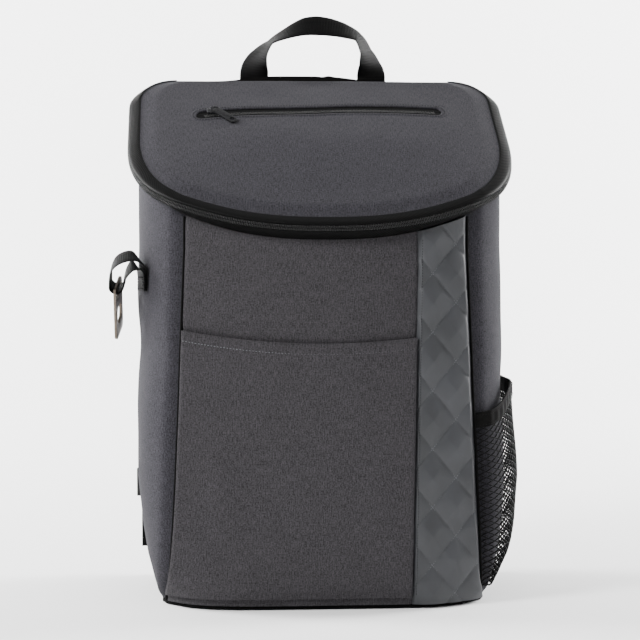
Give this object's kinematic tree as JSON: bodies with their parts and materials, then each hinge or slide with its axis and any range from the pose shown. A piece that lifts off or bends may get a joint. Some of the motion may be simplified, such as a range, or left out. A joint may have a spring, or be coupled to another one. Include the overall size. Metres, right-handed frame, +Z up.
{
  "type": "cooler backpack",
  "caption": "Insulated cooler backpack with a sloping zipped lid, quilted strip, front pocket, net side pocket, top handle, padded straps and a bottle opener on a side loop.",
  "frame": {"origin": "on the ground under the middle of the base", "axes": "+Z up, -Y out of the front panel, +X to the right seen from the front"},
  "size_m": [0.342, 0.2367, 0.4969],
  "materials": {
    "melange_cloth": "two-tone grey melange polyester",
    "coated_cloth": "matt grey coated cloth, quilted",
    "lining_cloth": "plain black polyester",
    "zip_tape": "black woven tape",
    "webbing": "black ribbed webbing",
    "net": "black knitted net",
    "black_plastic": "black moulded",
    "gunmetal": "dark grey cast metal",
    "steel": "satin steel"
  },
  "bodies": {
    "bag": {"front_panel": "melange_cloth", "quilted_panel": "coated_cloth", "front_pocket": "melange_cloth", "gusset_left": "melange_cloth", "gusset_right": "melange_cloth", "back_panel": "lining_cloth", "base_panel": "lining_cloth", "lid_panel": "melange_cloth", "lid_zip_tape": "zip_tape", "main_zip_teeth": "black_plastic", "body_zip_tape": "zip_tape", "main_zip_slider": "gunmetal", "back_binding": "zip_tape", "pocket_zip_tape": "zip_tape", "pocket_zip_teeth": "black_plastic", "pocket_zip_slider": "gunmetal", "carry_handle": "webbing", "opener_loop": "webbing", "net_pocket": "net", "net_binding": "webbing", "strap_yoke": "lining_cloth", "shoulder_strap_left": "lining_cloth", "strap_tab_left": "webbing", "strap_buckle_left": "black_plastic", "strap_webbing_left": "webbing", "strap_anchor_left": "lining_cloth", "shoulder_strap_right": "lining_cloth", "strap_tab_right": "webbing", "strap_buckle_right": "black_plastic", "strap_webbing_right": "webbing", "strap_anchor_right": "lining_cloth"},
    "opener": {"bottle_opener": "steel"},
    "zip_pull": {"pocket_zip_pull": "gunmetal"}
  },
  "joints": [
    {"name": "opener_swing", "type": "hinge", "parent": "bag", "child": "opener", "pos_m": [-0.16929, -0.03374, 0.26194], "axis": [0.1562, 0.8798, 0.449], "range_deg": [-10, 100]},
    {"name": "zip_pull_swing", "type": "hinge", "parent": "bag", "child": "zip_pull", "pos_m": [-0.0892, 0.02218, 0.40966], "axis": [-0.7229, -0.5776, -0.3792], "range_deg": [0, 150]}
  ]
}
